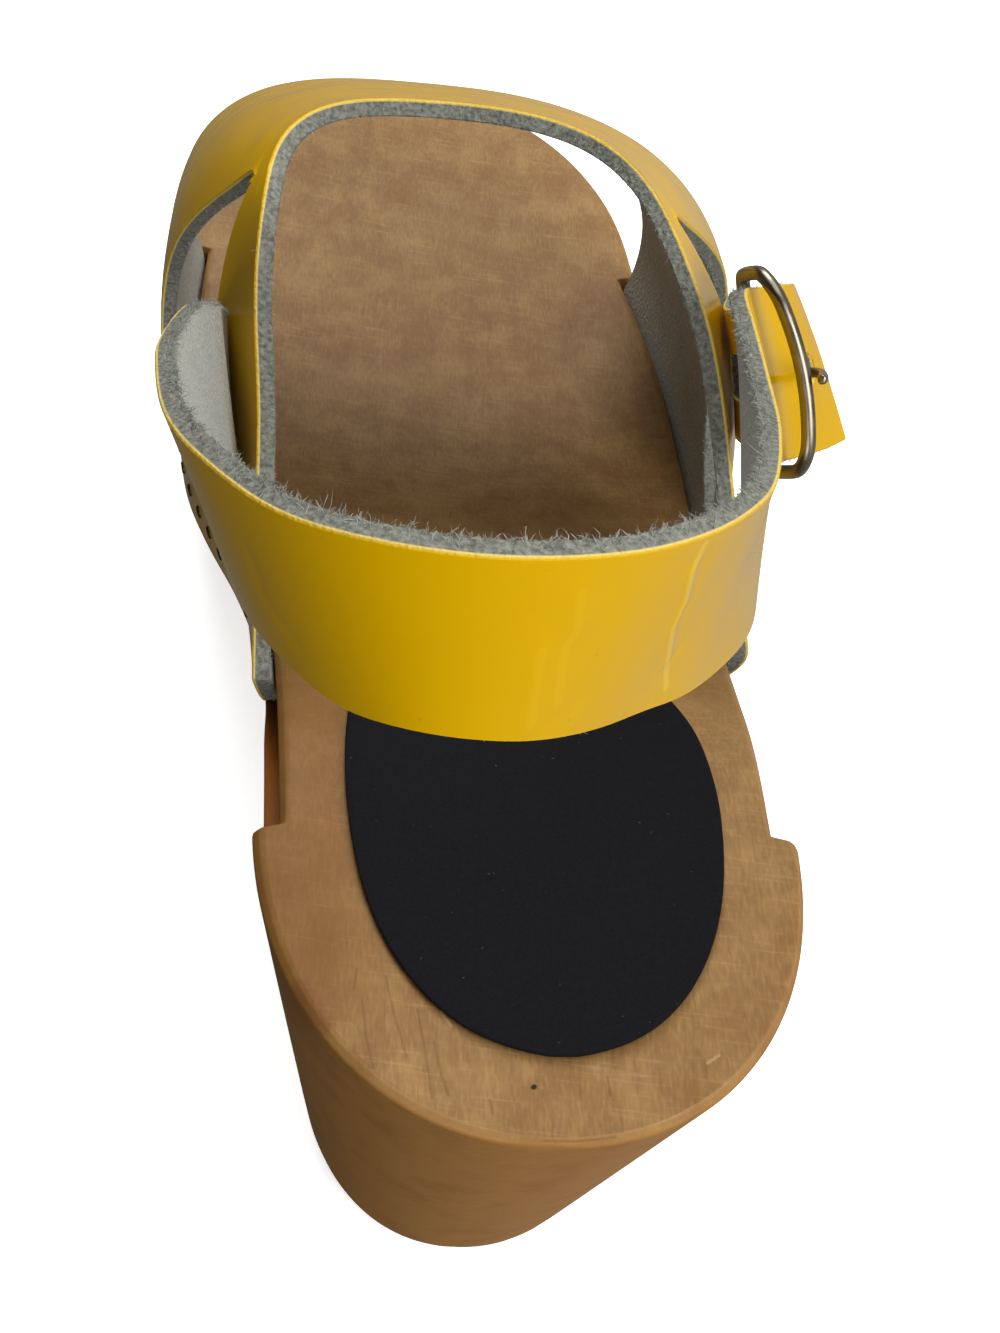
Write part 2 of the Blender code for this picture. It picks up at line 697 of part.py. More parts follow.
def make_hole_cutter(cutters):
    """Cylinder across the strap where the prong goes through."""
    low = leg_point(BUCKLE_SEAT, HOLE_ALONG, 0.0, 0.0)
    high = leg_point(BUCKLE_SEAT, HOLE_ALONG, 0.0, HOLE_CUTTER_LENGTH)
    work = bmesh.new()
    bmesh.ops.create_cone(
        work,
        cap_ends=True,
        segments=HOLE_CUTTER_SIDES,
        radius1=HOLE_RADIUS * MM,
        radius2=HOLE_RADIUS * MM,
        depth=HOLE_CUTTER_LENGTH * MM,
    )
    mesh = bpy.data.meshes.new("prong_hole_cutter")
    work.to_mesh(mesh)
    work.free()
    cutter = add_object("prong_hole_cutter", mesh, cutters)
    cutter.location = Vector((low + high) / 2 * MM)
    cutter.rotation_mode = "QUATERNION"
    cutter.rotation_quaternion = Vector(high - low).to_track_quat("Z", "Y")
    cutter.hide_render = True
    cutter.display_type = "WIRE"
    return cutter


def make_wire(name, points, radius, closed, collection, material):
    """Round wire through points."""
    curve = bpy.data.curves.new(name, "CURVE")
    curve.dimensions = "3D"
    curve.bevel_depth = radius * MM
    curve.bevel_resolution = 2
    curve.use_fill_caps = not closed
    line = curve.splines.new("POLY")
    line.points.add(len(points) - 1)
    for knot, point in zip(line.points, points):
        knot.co = (*(float(c) * MM for c in point), 1.0)
    line.use_cyclic_u = closed
    line.use_smooth = True
    return add_object(name, curve, collection, material)


def frame_points():
    """Loop of the buckle, along and across the strap, by its four corners and the bars between."""
    straight = FRAME_HALF_HEIGHT - FRAME_CORNER
    points = []
    for turn, along, up in FRAME_TURNS:
        for step in FRAME_STEPS:
            angle = math.radians(turn + step)
            x = along + FRAME_CORNER * math.cos(angle)
            points.append((x, up * straight + FRAME_CORNER * math.sin(angle)))
        if turn in FRAME_BAR_TURNS:
            bar = points[-1][0]
            points += [(bar, up * straight * share) for share in FRAME_BAR_SHARES]
    return points


def make_frame(collection):
    points = []
    for along, across in frame_points():
        share = -along / FRAME_LENGTH
        bow = FRAME_BOW * (1 - (across / FRAME_HALF_HEIGHT) ** 2)
        lift = INNER_BAR_LIFT + (END_BAR_LIFT + bow - INNER_BAR_LIFT) * share
        points.append(leg_point(BUCKLE_SEAT, along, across, lift))
    material = make_material("nickel_frame", NICKEL_COLOUR, NICKEL_ROUGHNESS, 1.0)
    return make_wire("buckle_frame", points, WIRE, True, collection, material)


def make_prong(collection):
    rows = []
    for angle in PRONG_EYE_ANGLES:
        turn = math.radians(angle)
        rows.append(LiftRow(PRONG_EYE * math.cos(turn), INNER_BAR_LIFT + PRONG_EYE * math.sin(turn)))
    points = []
    for row in (*rows, *PRONG_RUN):
        across = PRONG_LEAN * min(row.along, 0.0)
        points.append(leg_point(BUCKLE_SEAT, row.along, across, row.lift))
    material = make_material("nickel_prong", NICKEL_COLOUR, NICKEL_ROUGHNESS, 1.0)
    return make_wire("buckle_prong", points, PRONG_WIRE, False, collection, material)


def make_tab(collection):
    """Strip that lies on the outer leg, folds round the inner bar and lies back on itself."""
    path = list(TAB_LOWER)
    for angle in TAB_FOLD_ANGLES:
        turn = math.radians(angle)
        path.append(LiftRow(TAB_FOLD * math.cos(turn), INNER_BAR_LIFT + TAB_FOLD * math.sin(turn)))
    path += TAB_UPPER
    half = [TAB_SLOT / 2, TAB_WIDTH / 4, TAB_WIDTH / 2]
    columns = [-across for across in reversed(half)] + half
    rows = []
    for row in path:
        rows.append([leg_point(BUCKLE_SEAT, row.along, across, row.lift) for across in columns])
    slot_start = len(TAB_LOWER) - 2
    slot_end = len(path) - len(TAB_UPPER) + 1

    def keep(row, place):
        return not (columns[place] == -TAB_SLOT / 2 and slot_start <= row < slot_end)

    mesh = grid("buckle_tab", rows, keep)
    smooth(mesh, LEATHER_SMOOTH)
    material = make_material("patent_yellow_tab", PATENT_COLOUR, PATENT_ROUGHNESS)
    tab = add_object("buckle_tab", mesh, collection, material)
    thicken(tab, TAB_LEATHER, 0.0)
    return tab


def remove_everything():
    for thing in list(bpy.data.objects):
        bpy.data.objects.remove(thing, do_unlink=True)


def main():
    remove_everything()
    parts = make_collection("slingback_sandal")
    cutters = make_collection("cutters")
    make_sole(parts)
    make_label(parts)
    make_upper(parts)
    make_strap(parts, cutters)
    make_tab(parts)
    make_frame(parts)
    make_prong(parts)


main()
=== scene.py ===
# %% [markdown]
# # A wooden clog slingback sandal
#
# The sandal has a one-piece wooden sole, an upper of yellow patent leather nailed along its sides,
# and a sling strap with a buckle. The solids come from CAD. Here each of them gets the surface of
# the real thing: gloss, suede, fibres at the cut edges, wood grain, nails, creases and wear.
#
# The frame is loaded first, because every piece is placed by it. +X is the outer side of the foot,
# +Y the toe and +Z up, all in metres.

# %% Load the frame
import json
import math

import bmesh
import bpy
import numpy as np
from mathutils import Matrix, Quaternion, Vector

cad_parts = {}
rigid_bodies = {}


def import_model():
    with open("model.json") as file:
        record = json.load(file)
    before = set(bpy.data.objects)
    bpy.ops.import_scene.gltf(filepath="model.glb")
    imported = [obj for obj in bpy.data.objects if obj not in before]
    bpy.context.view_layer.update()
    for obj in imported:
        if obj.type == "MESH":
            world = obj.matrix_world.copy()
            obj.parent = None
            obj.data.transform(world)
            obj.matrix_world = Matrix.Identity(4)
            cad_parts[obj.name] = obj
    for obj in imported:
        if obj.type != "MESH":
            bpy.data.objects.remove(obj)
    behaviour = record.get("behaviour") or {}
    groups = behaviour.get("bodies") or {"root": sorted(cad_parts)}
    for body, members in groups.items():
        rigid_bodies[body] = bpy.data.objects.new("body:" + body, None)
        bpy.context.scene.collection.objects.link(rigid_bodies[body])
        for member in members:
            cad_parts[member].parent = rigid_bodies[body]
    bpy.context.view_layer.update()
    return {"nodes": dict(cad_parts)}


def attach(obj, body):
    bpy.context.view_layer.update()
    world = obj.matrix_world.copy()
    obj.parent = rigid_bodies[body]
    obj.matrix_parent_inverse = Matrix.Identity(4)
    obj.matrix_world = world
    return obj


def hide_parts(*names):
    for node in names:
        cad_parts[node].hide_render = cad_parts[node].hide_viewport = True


MM = 0.001
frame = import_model()
nodes = frame["nodes"]
print("nodes:", sorted(nodes))

# %% [markdown]
# ## Camera
#
# The photograph looks down on the heel from behind, from close by, so the heel is large and the toe
# runs away. A camera further off with a longer lens could frame the shoe too, but would lose that
# look. So the camera stands at the place that was worked out from the photograph, and the lens
# frames the shoe. The photograph is tilted a little, which is the roll.

# %% Place the camera
CAMERA_PLACE = Vector((-0.0444, -0.1299, 0.2654))
CAMERA_TARGET = Vector((0.0099, 0.0700, 0.0174))
CAMERA_ROLL = math.radians(14.14)
CAMERA_LENS = 70.2
CAMERA_NEAR = 0.01
SENSOR_WIDTH = 36.0

bpy.ops.object.select_all(action="DESELECT")
look = (CAMERA_TARGET - CAMERA_PLACE).to_track_quat("-Z", "Y")
turn = look @ Quaternion((0.0, 0.0, 1.0), CAMERA_ROLL)
bpy.ops.object.camera_add(location=CAMERA_PLACE, rotation=turn.to_euler())
camera = bpy.context.object
camera.data.sensor_fit = "HORIZONTAL"
camera.data.sensor_width = SENSOR_WIDTH
camera.data.lens = CAMERA_LENS
camera.data.clip_start = CAMERA_NEAR
bpy.context.scene.camera = camera
print("camera at", [round(c, 3) for c in camera.location])

# %% [markdown]
# ## Colours and nodes
#
# Colours are picked as sRGB hex values, as on a screen, and shaders work with linear light, so one
# function converts them. A second one adds a shader node with its settings, values and links, so
# that a material reads as a list of steps. A pattern's scale is the inverse of a real size, which a
# third one works out. Nodes could be wired by hand in the editor as well, but code shows every value.


# %% Helpers for materials
MIX_FACTOR, MIX_LOW, MIX_HIGH, MIX_COLOUR = 0, 6, 7, 2


def linear(hex_colour):
    """Linear colour with full alpha from an sRGB hex value."""
    channels = [int(hex_colour[i:i + 2], 16) / 255 for i in (1, 3, 5)]
    bright = [c / 12.92 if c <= 0.04045 else ((c + 0.055) / 1.055) ** 2.4 for c in channels]
    return (*bright, 1.0)


def add_node(tree, kind, inputs, output=0, **settings):
    """Adds a node and returns one of its outputs.

    Settings are the node's properties, inputs its values, hex colours or the outputs that feed it.
    """
    node = tree.nodes.new(kind)
    for name, value in settings.items():
        setattr(node, name, value)
    for name, value in inputs.items():
        if isinstance(value, bpy.types.NodeSocket):
            tree.links.new(value, node.inputs[name])
        elif isinstance(value, str):
            node.inputs[name].default_value = linear(value)
        else:
            node.inputs[name].default_value = value
    return node.outputs[output]


def per_metre(size):
    """Scale of a pattern whose blobs are about a size in mm."""
    return 1 / (size * MM)


def new_material(name, **values):
    """Principled material, its node tree and its shader with the values that never vary."""
    material = bpy.data.materials.new(name)
    material.use_nodes = True
    tree = material.node_tree
    shader = tree.nodes["Principled BSDF"]
    for socket, value in values.items():
        shader.inputs[socket.replace("_", " ")].default_value = value
    return material, tree, shader


def overlay(tree, colour, layers):
    """Colour with tints laid over it.

    A layer has a mask, the values at which it starts and is full, its largest share and its tint.
    """
    for mask, low, high, most, tint in layers:
        edge = {"Value": mask, "From Min": low, "From Max": high, "To Max": most}
        share = add_node(tree, "ShaderNodeMapRange", edge)
        ends = {MIX_FACTOR: share, MIX_LOW: colour, MIX_HIGH: tint}
        colour = add_node(tree, "ShaderNodeMix", ends, MIX_COLOUR, data_type="RGBA")
    return colour


# %% [markdown]
# ## Light and floor
#
# The shoe was photographed in soft light from above and from the right, behind the viewer: seat and
# strap are bright, and the inner side falls into shade. A sky alone could light it, but soft boxes
# can be matched to the photograph one by one. The largest is the key, a low one behind the viewer
# fills the heel and the back of the strap, one hangs above, and one in front lights the shoulder of
# the upper. A dim sky, brighter on the right, keeps the reflections in the patent leather deep. The
# floor is a plain white backdrop that throws no light.


# %% Soft boxes, sky and floor
def soft_box(name, place, aim, size, power):
    """Square area light that looks at a point."""
    way = (Vector(aim) - Vector(place)).to_track_quat("-Z", "Y")
    bpy.ops.object.light_add(type="AREA", location=place, rotation=way.to_euler())
    lamp = bpy.context.object
    lamp.name = name
    lamp.data.shape = "SQUARE"
    lamp.data.size = size
    lamp.data.energy = power
    return lamp


SHOE_MIDDLE = (0.0, 0.06, 0.07)
SKY_LEFT, SKY_RIGHT = 0.04, 0.4
SKY_FROM, SKY_TO = -0.3, 0.5
soft_box("key_light", (0.55, -0.65, 0.65), SHOE_MIDDLE, size=0.6, power=7.8)
soft_box("fill_light", (-0.35, -0.85, 0.12), SHOE_MIDDLE, size=0.5, power=4.2)
soft_box("top_light", (0.0, 0.15, 1.1), SHOE_MIDDLE, size=0.9, power=5.8)
soft_box("shoulder_light", (-0.1, 0.75, 0.75), SHOE_MIDDLE, size=0.5, power=6.5)

bpy.context.scene.view_settings.view_transform = "Standard"
sky = bpy.data.worlds.new("studio")
sky.use_nodes = True
background = sky.node_tree.nodes["Background"]
background.inputs["Color"].default_value = linear("#ffffff")
way = add_node(sky.node_tree, "ShaderNodeTexCoord", {}, "Generated")
rightward = add_node(sky.node_tree, "ShaderNodeSeparateXYZ", {"Vector": way}, "X")
span = {"From Min": SKY_FROM, "From Max": SKY_TO, "To Min": SKY_LEFT, "To Max": SKY_RIGHT}
strength = add_node(sky.node_tree, "ShaderNodeMapRange", {"Value": rightward, **span})
sky.node_tree.links.new(strength, background.inputs["Strength"])
bpy.context.scene.world = sky

FLOOR_SIZE = 4.0
FLOOR_GLOW = 0.7
bpy.ops.mesh.primitive_plane_add(size=FLOOR_SIZE, location=(0.0, 0.0, 0.0))
floor = bpy.context.object
floor.name = "floor"
floor_material, _, shader = new_material(
    "white_board", Base_Color=linear("#f4f4f2"), Roughness=0.9, Emission_Strength=FLOOR_GLOW
)
shader.inputs["Emission Color"].default_value = linear("#ffffff")
floor.data.materials.append(floor_material)
floor.visible_glossy = False
floor.visible_diffuse = False

# %% [markdown]
# ## From CAD solids to skins
#
# A CAD node comes as loose triangles. A skin could be modelled anew over it, but a copy of the node
# keeps its form by itself. The copy is merged, turned back to quads and subdivided with its hard
# edges held, which gives soft curves. A leather piece is then rounded a little along those edges.
#
# The faces of a leather piece fall into groups between the hard edges: the outer side is patent, the
# inner side flesh, and what lies between them is the cut edge. Each point also keeps its depth in the
# leather, from 0 outside to 1 inside, so that a material can draw the thin film of lacquer at the cut.


# %% Make a skin from a node
OUTSIDE, INSIDE, CUT = 0, 1, 2
MERGE = 0.25 * MM
SHARP = math.radians(50)
QUAD_BEND = math.radians(60)
FULLY = 1.0


def only(piece):
    """Selects one object and makes it active."""
    bpy.ops.object.select_all(action="DESELECT")
    piece.select_set(True)
    bpy.context.view_layer.objects.active = piece


def clean_copy(node, name, sharp):
    """Copy of a CAD node as merged quads with its hard edges marked."""
    piece = bpy.data.objects.new(name, nodes[node].data.copy())
    bpy.context.scene.collection.objects.link(piece)
    piece.data.materials.clear()
    only(piece)
    bpy.ops.object.mode_set(mode="EDIT")
    bpy.ops.mesh.select_all(action="SELECT")
    bpy.ops.mesh.customdata_custom_splitnormals_clear()
    bpy.ops.mesh.remove_doubles(threshold=MERGE)
    bpy.ops.mesh.tris_convert_to_quads(face_threshold=QUAD_BEND, shape_threshold=math.pi)
    bpy.ops.mesh.mark_sharp(clear=True)
    bpy.ops.mesh.select_all(action="DESELECT")
    bpy.ops.mesh.select_mode(type="EDGE")
    bpy.ops.mesh.edges_select_sharp(sharpness=sharp)
    bpy.ops.mesh.mark_sharp()
    bpy.ops.object.mode_set(mode="OBJECT")
    return piece


def face_groups(work):
    """Groups of faces that no hard edge parts, the largest first."""
    left = set(work.faces)
    groups = []
    while left:
        group = {left.pop()}
        front = list(group)
        while front:
            face = front.pop()
            for edge in face.edges:
                if edge.smooth:
                    fresh = [near for near in edge.link_faces if near in left]
                    left.difference_update(fresh)
                    group.update(fresh)
                    front += fresh
        groups.append(group)
    return sorted(groups, key=lambda group: -sum(face.calc_area() for face in group))


def mark_sides(piece, middle):
    """Gives faces the index of their side, and points their depth in the leather."""
    work = bmesh.new()
    work.from_mesh(piece.data)
    depth = work.verts.layers.float.new("depth")
    groups = face_groups(work)
    for face in work.faces:
        face.material_index = CUT
    for group in groups[:2]:
        facing = sum(face.normal.dot(face.calc_center_median() - middle) for face in group)
        for face in group:
            face.material_index = OUTSIDE if facing > 0 else INSIDE
            for corner in face.verts:
                corner[depth] = 0.0 if facing > 0 else 1.0
    work.to_mesh(piece.data)
    work.free()
    sides = [face.material_index for face in piece.data.polygons]
    counts = [sides.count(side) for side in (OUTSIDE, INSIDE, CUT)]
    print(piece.name, "faces outside, inside, cut:", counts)


def apply_all(piece):
    """Applies the modifiers of a piece in their order."""
    only(piece)
    for modifier in list(piece.modifiers):
        bpy.ops.object.modifier_apply(modifier=modifier.name)


def round_edges(piece, width, segments, sharp, material=-1):
    """Rounds the hard edges. The new faces take one material, or with -1 that of a neighbour."""
    edge = piece.modifiers.new("round edges", "BEVEL")
    edge.width = width
    edge.segments = segments
    edge.limit_method = "ANGLE"
    edge.angle_limit = sharp
    edge.use_clamp_overlap = False
    edge.material = material


def hold_edges(piece, amount):
    """Keeps the hard edges, which are still selected, as hard as the amount says when subdivided."""
    only(piece)
    bpy.ops.object.mode_set(mode="EDIT")
    bpy.ops.transform.edge_crease(value=amount)
    bpy.ops.object.mode_set(mode="OBJECT")


def soften(piece, levels):
    """Subdivides the piece into soft curves."""
    surface = piece.modifiers.new("soft curves", "SUBSURF")
    surface.levels = levels
    surface.render_levels = levels


# %% [markdown]
# ## Strokes
#
# Some marks sit at one place: a crack in the lacquer, a scratch, a pin hole. They could be painted on
# an image, but here a stroke is a line between two points of the shoe. A few vector nodes measure how
# far a place on the surface is from that line, and the distance becomes a soft mask. That needs no
# image and holds in every view.


# %% Mask for strokes at given places
def strokes(tree, place, lines, width):
    """Mask that is 1 along lines, given as pairs of points in mm, and 0 further off than a width."""
    mask = None
    for start, end in lines:
        axis = (Vector(end) - Vector(start)) * MM
        shift = {0: place, 1: Vector(start) * MM}
        offset = add_node(tree, "ShaderNodeVectorMath", shift, operation="SUBTRACT")
        ratio = {0: offset, 1: axis / axis.length_squared}
        along = add_node(tree, "ShaderNodeVectorMath", ratio, "Value", operation="DOT_PRODUCT")
        share = add_node(tree, "ShaderNodeClamp", {"Value": along})
        foot = add_node(tree, "ShaderNodeVectorMath", {0: axis, "Scale": share}, operation="SCALE")
        gap = add_node(tree, "ShaderNodeVectorMath", {0: offset, 1: foot}, "Value", operation="DISTANCE")
        fade = {"From Min": width * MM, "From Max": width * MM / 2}
        line = add_node(tree, "ShaderNodeMapRange", {"Value": gap, **fade})
        if mask is not None:
            line = add_node(tree, "ShaderNodeMath", {0: mask, 1: line}, operation="MAXIMUM")
        mask = line
    return mask


# %% [markdown]
# ## Patent leather
#
# Patent leather is split leather under a thick film of lacquer. The film is smooth and glossy and
# takes the tint of its pigment into the reflection, and it follows the leather below in long low
# waves. Fine scuffs dull it a little. A clear coat over a dull body could show the film, but one
# tinted gloss is closer, because the lacquer carries the colour itself. The flesh side is grey suede:
# matt, fibrous and uneven. A cut edge shows the film as a thin cream line over the grey fibres.

# %% Places of the marks on the strap
# A crack in the lacquer behind the heel, on the buckle's side, from the upper to the lower edge
CRACK = (
    (3.2, -13.2, 139.4),
    (2.7, -13.5, 136.3),
    (3.3, -12.9, 131.3),
    (3.0, -13.1, 127.1),
    (4.0, -12.0, 121.2),
    (5.2, -10.9, 115.5),
)
# Two soft pulls in the lacquer behind the heel
PULLS = (
    ((-9.1, -20.4, 140.3), (-8.6, -20.5, 135.2), (-9.3, -20.8, 132.8), (-8.5, -20.9, 124.9)),
    ((-11.5, -21.4, 133.3), (-10.8, -21.8, 122.7)),
)
print("points on the crack:", len(CRACK), "pulls:", len(PULLS))


def legs(points):
    """Pairs of neighbours in a line of points."""
    return list(zip(points[:-1], points[1:]))


# %% Patent, flesh and cut-edge materials
def make_patent():
    # Split leather under pigmented lacquer: a deep yellow body, a clear gloss and dull little scuffs
    material, tree, shader = new_material(
        "patent_leather_yellow", IOR=1.5, Specular_IOR_Level=0.26, Specular_Tint=linear("#ffd24a")
    )
    place = add_node(tree, "ShaderNodeTexCoord", {}, "Object")
    cloud = add_node(tree, "ShaderNodeTexNoise", {"Vector": place, "Scale": per_metre(45)})
    ends = {MIX_FACTOR: cloud, MIX_LOW: "#cf9f00", MIX_HIGH: "#d8aa00"}
    colour = add_node(tree, "ShaderNodeMix", ends, MIX_COLOUR, data_type="RGBA")
    dots = {"Vector": place, "Scale": per_metre(0.9), "Detail": 2.0}
    dirt = add_node(tree, "ShaderNodeTexNoise", dots)
    layers = (
        (dirt, 0.74, 0.8, 0.4, "#a87c10"),
        # Pale tint along the pulls: painted highlight on their ridges
        (strokes(tree, place, legs(PULLS[0]) + legs(PULLS[1]), 0.6), 0.0, 1.0, 0.08, "#f0cc38"),
        # The crack, painted paler along its ridge as a highlight
        (strokes(tree, place, legs(CRACK), 0.6), 0.0, 1.0, 0.4, "#ecc93c"),
    )
    tree.links.new(overlay(tree, colour, layers), shader.inputs["Base Color"])
    scuff = add_node(tree, "ShaderNodeTexNoise", {"Vector": place, "Scale": per_metre(9), "Detail": 2.0})
    gloss = {"Value": scuff, "From Min": 0.35, "From Max": 0.65, "To Min": 0.16, "To Max": 0.22}
    tree.links.new(add_node(tree, "ShaderNodeMapRange", gloss), shader.inputs["Roughness"])
    wave = add_node(tree, "ShaderNodeTexNoise", {"Vector": place, "Scale": per_metre(14), "Detail": 1.0})
    bump = add_node(tree, "ShaderNodeBump", {"Height": wave, "Distance": 0.08 * MM})
    tree.links.new(bump, shader.inputs["Normal"])
    return material


def make_flesh():
    # Napped split side of the hide: dry, matt and clouded, with a faint sheen of fibre ends
    material, tree, shader = new_material("flesh_side_grey_suede", Roughness=0.95, Sheen_Weight=0.15)
    place = add_node(tree, "ShaderNodeTexCoord", {}, "Object")
    cloud = add_node(tree, "ShaderNodeTexNoise", {"Vector": place, "Scale": per_metre(7), "Detail": 5.0})
    fibre = add_node(tree, "ShaderNodeTexNoise", {"Vector": place, "Scale": per_metre(0.5), "Detail": 4.0})
    ends = {MIX_FACTOR: cloud, MIX_LOW: "#8e8e84", MIX_HIGH: "#acaca2"}
    base = add_node(tree, "ShaderNodeMix", ends, MIX_COLOUR, data_type="RGBA")
    layers = ((fibre, 0.4, 0.8, 1.0, "#c6c6ba"),)
    tree.links.new(overlay(tree, base, layers), shader.inputs["Base Color"])
    bump = add_node(tree, "ShaderNodeBump", {"Height": fibre, "Distance": 0.4 * MM})
    tree.links.new(bump, shader.inputs["Normal"])
    return material


def make_cut():
    # Raw cut through film and fibres: a yellow lip, a thin cream line of lacquer, then grey fibre ends
    material, tree, shader = new_material("cut_leather_edge", Roughness=0.85, Specular_IOR_Level=0.3)
    place = add_node(tree, "ShaderNodeTexCoord", {}, "Object")
    depth = add_node(tree, "ShaderNodeAttribute", {}, "Fac", attribute_name="depth")
    fibre = add_node(tree, "ShaderNodeTexNoise", {"Vector": place, "Scale": per_metre(0.6), "Detail": 4.0})
    rough = add_node(tree, "ShaderNodeMapRange", {"Value": fibre, "From Min": 0.3, "From Max": 0.7})
    ends = {MIX_FACTOR: rough, MIX_LOW: "#565750", MIX_HIGH: "#8e8f84"}
    core = add_node(tree, "ShaderNodeMix", ends, MIX_COLOUR, data_type="RGBA")
    layers = (
        (depth, 0.2, 0.14, 1.0, "#d8bf66"),
        (depth, 0.07, 0.04, 1.0, "#d8a800"),
    )
    tree.links.new(overlay(tree, core, layers), shader.inputs["Base Color"])
    bump = add_node(tree, "ShaderNodeBump", {"Height": fibre, "Distance": 0.4 * MM})
    tree.links.new(bump, shader.inputs["Normal"])
    return material


patent, flesh, cut_edge = make_patent(), make_flesh(), make_cut()
print("leather materials:", patent.name, flesh.name, cut_edge.name)


# %% Leather pieces from their solids
CUT_ROUND = 0.2 * MM


def make_leather(node, name, middle, levels):
    """Skin of a leather node. The middle is a point that its inner side looks at."""
    piece = clean_copy(node, name, SHARP)
    hold_edges(piece, FULLY)
    mark_sides(piece, Vector(middle))
    for material in (patent, flesh, cut_edge):
        piece.data.materials.append(material)
    soften(piece, levels)
    round_edges(piece, CUT_ROUND, 1, SHARP, CUT)
    apply_all(piece)
    bpy.ops.object.shade_smooth_by_angle(angle=SHARP)
    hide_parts(node)
    return piece


FOOT_MIDDLE = (-0.003, 0.1, 0.06)
LOOP_MIDDLE = (-0.008, 0.025, 0.11)
TAB_MIDDLE = (0.0355, 0.0725, 0.0875)
upper = make_leather("upper", "upper_leather", FOOT_MIDDLE, 2)
strap = make_leather("sling_strap", "strap_leather", LOOP_MIDDLE, 3)
make_leather("buckle_tab", "tab_leather", TAB_MIDDLE, 2)

# %% [markdown]
# ## Creases
#
# Worn leather keeps the lines along which it was bent. They could come from a cloth simulation, but
# the few that show have known places, so each is pressed one by one as a soft trough or ridge: points
# near a line move along one direction, most on the line itself and less with the distance. All are
# shallow, so the wall loses less than 0.4 mm of its thickness.


# %% Press the creases
def crease(piece, points, way, depth, width):
    """Presses a trough of a depth and width in mm along a line of points.

    A depth below 0 raises a ridge.
    """
    count = len(piece.data.vertices)
    places = np.empty(count * 3)
    piece.data.vertices.foreach_get("co", places)
    places = places.reshape(-1, 3)
    nearest = np.full(count, np.inf)
    for start, end in legs(points):
        start, end = np.array(start) * MM, np.array(end) * MM
        axis = end - start
        share = np.clip((places - start) @ axis / (axis @ axis), 0.0, 1.0)
        nearest = np.minimum(nearest, np.linalg.norm(places - start - share[:, None] * axis, axis=1))
    press = depth * MM * np.exp(-((nearest / (width * MM)) ** 2))
    places += press[:, None] * np.array(Vector(way).normalized())
    piece.data.vertices.foreach_set("co", places.ravel())
    piece.data.update()


def beside(points, shift):
    """The same line moved by a few mm."""
    return [tuple(np.add(point, shift)) for point in points]


INTO_CRACK = (-0.7, 0.7, 0.0)
INTO_HEEL = (-0.3, 0.95, 0.0)
INTO_LEFT = (0.8, 0.5, 0.2)
INTO_LEG = (1.0, 0.0, 0.0)
SIDE_FOLD = ((-37.1, -6.7, 127.3), (-35.4, -7.3, 122.2), (-32.5, -11.3, 121.0))
END_FOLD = ((-37.2, 50.0, 76.5), (-41.0, 65.0, 96.0))
END_BEND = ((-37.0, 57.0, 69.0), (-38.8, 71.5, 89.0))
BY_CRACK = (1.1, 1.1, 0.0)
BY_PULL = (2.4, 0.7, 0.0)
# Each has its line, the way it is pressed, its depth and its width
CREASES = (
    (CRACK[1:-1], INTO_CRACK, -0.2, 0.8),
    (beside(CRACK[1:-1], BY_CRACK), INTO_CRACK, 0.15, 1.0),
    (PULLS[0], INTO_HEEL, -0.1, 1.4),
    (beside(PULLS[0], BY_PULL), INTO_HEEL, 0.08, 2.0),
    (PULLS[1], INTO_HEEL, -0.1, 1.4),
    (beside(PULLS[1], BY_PULL), INTO_HEEL, 0.08, 2.0),
    (SIDE_FOLD, INTO_LEFT, 0.08, 1.6),
    (END_FOLD, INTO_LEG, 0.6, 3.0),
    (END_BEND, INTO_LEG, 0.4, 1.6),
)
for points, way, depth, width in CREASES:
    crease(strap, points, way, depth, width)
print("troughs and ridges on the strap:", len(CREASES))

# %% [markdown]
# ## Frayed edges
#
# The flesh side sheds fibres along every cut. Hair particles could draw them, but a mesh goes with the
# shoe wherever it goes, so each is a thin curl of faces with its root in the leather. They come from a
# seeded random source, thick along the inner edge and thin towards the lacquer, and are a little
# coarser than real ones, so that they show in the picture.


# %% Fray the cut edges
FIBRE_WIDTH = 0.1 * MM
FIBRE_JOINTS = 3
FIBRE_BEND = 0.55
FIBRE_TAPER = 0.8
LEAN_OUT, LEAN_IN = 0.4, 0.6
ROOT_SPREAD = 0.45
LENGTH_SHAPE = 4.0
FULL_DEPTH = 0.999


def make_fibre():
    # Loose collagen fibres: dry, matt and uneven in tone
    material, tree, shader = new_material("loose_suede_fibre", Roughness=0.95, Specular_IOR_Level=0.2)
    place = add_node(tree, "ShaderNodeTexCoord", {}, "Object")
    tone = add_node(tree, "ShaderNodeTexNoise", {"Vector": place, "Scale": per_metre(1.5), "Detail": 3.0})
    share = add_node(tree, "ShaderNodeMapRange", {"Value": tone, "From Min": 0.3, "From Max": 0.7})
    ends = {MIX_FACTOR: share, MIX_LOW: "#797a70", MIX_HIGH: "#abaca1"}
    colour = add_node(tree, "ShaderNodeMix", ends, MIX_COLOUR, data_type="RGBA")
    tree.links.new(colour, shader.inputs["Base Color"])
    return material


loose_fibre = make_fibre()


def curl(rng, root, way, reach):
    """Rows of points of one tapering fibre that bends a little at each joint."""
    rows = []
    flat = np.cross(way, rng.normal(0.0, 1.0, 3))
    flat *= FIBRE_WIDTH / 2 / np.linalg.norm(flat)
    for joint in range(FIBRE_JOINTS):
        rows += [root - flat, root + flat]
        way = way + rng.normal(0.0, FIBRE_BEND, 3)
        way /= np.linalg.norm(way)
        root = root + way * reach / FIBRE_JOINTS
        flat = flat * FIBRE_TAPER
    return [*rows, root]


